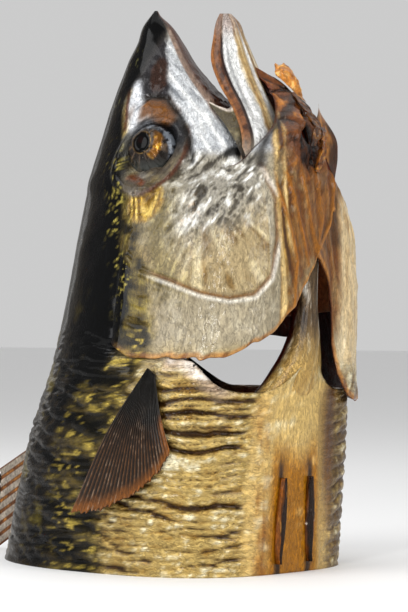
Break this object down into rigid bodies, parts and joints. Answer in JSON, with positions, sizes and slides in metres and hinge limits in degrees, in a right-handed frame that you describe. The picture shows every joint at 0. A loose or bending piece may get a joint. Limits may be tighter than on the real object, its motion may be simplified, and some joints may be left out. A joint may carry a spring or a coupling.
{
  "type": "smoked fish",
  "caption": "Front half of a hot smoked mackerel with head, gaping mouth, gill covers and fins, standing snout up on the flat cut across its trunk.",
  "frame": {"origin": "middle of the flat cut face that the fish stands on", "axes": "+Z along the fish to the snout, +X to the belly, -Y to the fish's right side"},
  "size_m": [0.1094, 0.0819, 0.1437],
  "materials": {
    "smoked_skin": "glossy gold and silver smoked skin, black-green over the back",
    "dried_eye": "dull gold iris round a black pupil",
    "dark_fin": "dry black-brown rays with amber ends",
    "amber_fin": "dry orange-brown rays with thin grey skin between",
    "torn_flesh": "moist orange flesh"
  },
  "bodies": {
    "root": {"fish": "smoked_skin", "eye_right": "dried_eye", "eye_left": "dried_eye", "pectoral_fin_right": "dark_fin", "pectoral_fin_left": "dark_fin", "pelvic_fin_right": "dark_fin", "pelvic_fin_left": "dark_fin", "dorsal_fin": "amber_fin", "throat_scrap": "torn_flesh"}
  },
  "joints": []
}
